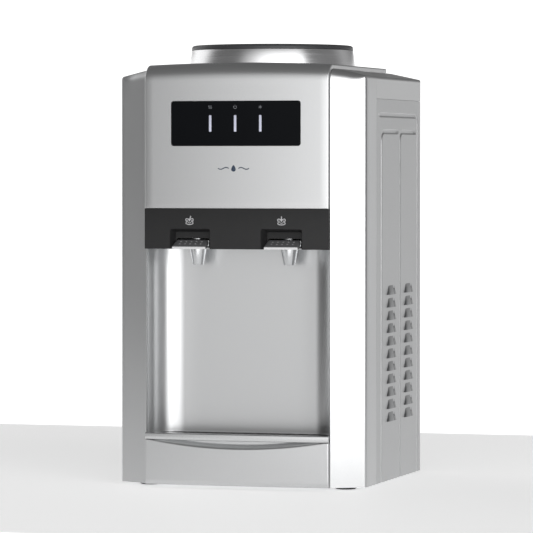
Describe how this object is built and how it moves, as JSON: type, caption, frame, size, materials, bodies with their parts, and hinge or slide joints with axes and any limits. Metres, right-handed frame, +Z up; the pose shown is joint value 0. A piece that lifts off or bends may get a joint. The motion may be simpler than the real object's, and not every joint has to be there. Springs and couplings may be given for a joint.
{
  "type": "countertop water dispenser",
  "caption": "Silver countertop water dispenser with a bottle seat on top, hot and cold push-lever taps over an open alcove, a lift-out drip tray and a rear wire condenser.",
  "frame": {"origin": "middle of the bounding box where the feet stand", "axes": "+X to the right of someone facing the taps, +Y to the back, +Z up"},
  "size_m": [0.311, 0.3059, 0.53],
  "materials": {
    "silver_panel": "satin metallic silver paint",
    "light_silver_panel": "satin metallic silver paint",
    "galvanised_steel": "dull zinc-coated sheet",
    "black_rubber": "matte",
    "gloss_black": "high gloss",
    "light_pipe": "clear satin",
    "circuit_board": "satin",
    "charcoal_plastic": "fine matte grain",
    "chrome_tap": "satin chrome",
    "steel_hardware": "plain zinc",
    "brushed_steel_collar": "brushed round the ring",
    "stainless_tank": "plain",
    "white_plastic": "satin",
    "white_silicone": "satin",
    "copper_tube": "bright copper",
    "insulation_foam": "rough foam",
    "heater_brass": "dull",
    "black_enamel": "satin black enamel",
    "black_plastic": "satin",
    "red_plastic": "gloss",
    "green_plastic": "gloss"
  },
  "bodies": {
    "cabinet": {"base_pan": "galvanised_steel", "rubber_feet": "black_rubber", "left_column": "silver_panel", "right_column": "light_silver_panel", "left_side_panel": "silver_panel", "right_side_panel": "silver_panel", "rear_panel": "galvanised_steel", "top_cover": "silver_panel", "upper_fascia": "light_silver_panel", "display_window": "gloss_black", "indicator_bars": "light_pipe", "display_board": "circuit_board", "tap_strip": "charcoal_plastic", "alcove_liner": "silver_panel", "lower_fascia": "light_silver_panel", "hot_tap_body": "chrome_tap", "cold_tap_body": "chrome_tap", "tap_lever_pins": "steel_hardware", "cold_tank": "stainless_tank", "cold_tank_lid": "white_plastic", "tank_baffle": "white_plastic", "evaporator_coil": "copper_tube", "front_insulation": "insulation_foam", "rear_insulation": "insulation_foam", "tank_shelf": "galvanised_steel", "hot_tank": "stainless_tank", "heater_band": "heater_brass", "hot_tank_jacket": "insulation_foam", "hot_tank_thermostats": "white_plastic", "hot_tank_stand": "galvanised_steel", "compressor": "black_enamel", "compressor_grommets": "black_rubber", "compressor_bolts": "steel_hardware", "relay_box": "black_plastic", "discharge_pipe": "copper_tube", "suction_pipe": "copper_tube", "filter_drier": "copper_tube", "capillary_tube": "copper_tube", "condenser": "black_enamel", "hot_outlet_hose": "white_silicone", "cold_outlet_hose": "white_silicone", "hot_feed_hose": "white_silicone", "switch_housings": "black_plastic", "cold_thermostat": "steel_hardware", "cord_gland": "black_rubber", "drain_fitting": "white_plastic", "rear_screws": "steel_hardware"},
    "hot_lever": {"hot_tap_lever": "charcoal_plastic"},
    "cold_lever": {"cold_tap_lever": "charcoal_plastic"},
    "hot_valve": {"hot_tap_plunger": "white_silicone"},
    "cold_valve": {"cold_tap_plunger": "white_silicone"},
    "tray": {"drip_tray": "silver_panel"},
    "grille": {"drip_grille": "charcoal_plastic"},
    "seat": {"bottle_collar": "brushed_steel_collar", "bottle_seat": "charcoal_plastic", "bottle_probe": "white_plastic"},
    "hot_rocker": {"hot_switch_rocker": "red_plastic"},
    "cold_rocker": {"cold_switch_rocker": "green_plastic"},
    "knob": {"thermostat_knob": "black_plastic"},
    "cap": {"drain_cap": "black_plastic"}
  },
  "joints": [
    {"name": "hot_lever_press", "type": "hinge", "parent": "cabinet", "child": "hot_lever", "pos_m": [-0.057, -0.13, 0.293], "axis": [1, 0, 0], "range_deg": [0, 12], "stiffness_Nm_per_rad": 0.4, "springref_deg": -20.05},
    {"name": "hot_valve_lift", "type": "slide", "parent": "cabinet", "child": "hot_valve", "axis": [0, 0, 1], "range_m": [0, 0.0031]},
    {"name": "cold_lever_press", "type": "hinge", "parent": "cabinet", "child": "cold_lever", "pos_m": [0.057, -0.13, 0.293], "axis": [1, 0, 0], "range_deg": [0, 12], "stiffness_Nm_per_rad": 0.4, "springref_deg": -20.05},
    {"name": "cold_valve_lift", "type": "slide", "parent": "cabinet", "child": "cold_valve", "axis": [0, 0, 1], "range_m": [0, 0.0031]},
    {"name": "tray_lift", "type": "slide", "parent": "cabinet", "child": "tray", "axis": [0, 0, 1], "range_m": [0, 0.045]},
    {"name": "grille_lift", "type": "slide", "parent": "tray", "child": "grille", "axis": [0, 0, 1], "range_m": [0, 0.06]},
    {"name": "seat_lift", "type": "slide", "parent": "cabinet", "child": "seat", "axis": [0, 0, 1], "range_m": [0, 0.1]},
    {"name": "hot_switch", "type": "hinge", "parent": "cabinet", "child": "hot_rocker", "pos_m": [-0.115, 0.137, 0.095], "axis": [1, 0, 0], "range_deg": [0, 16]},
    {"name": "cold_switch", "type": "hinge", "parent": "cabinet", "child": "cold_rocker", "pos_m": [-0.085, 0.137, 0.095], "axis": [1, 0, 0], "range_deg": [0, 16]},
    {"name": "thermostat_turn", "type": "hinge", "parent": "cabinet", "child": "knob", "pos_m": [-0.05, 0.148, 0.095], "axis": [0, 1, 0], "range_deg": [-135, 135]},
    {"name": "drain_cap_off", "type": "slide", "parent": "cabinet", "child": "cap", "axis": [0, 1, 0], "range_m": [0, 0.02]}
  ],
  "couplings": [
    {"joint": "hot_valve_lift", "follows": "hot_lever_press", "m_per_rad": 0.014},
    {"joint": "cold_valve_lift", "follows": "cold_lever_press", "m_per_rad": 0.014}
  ]
}
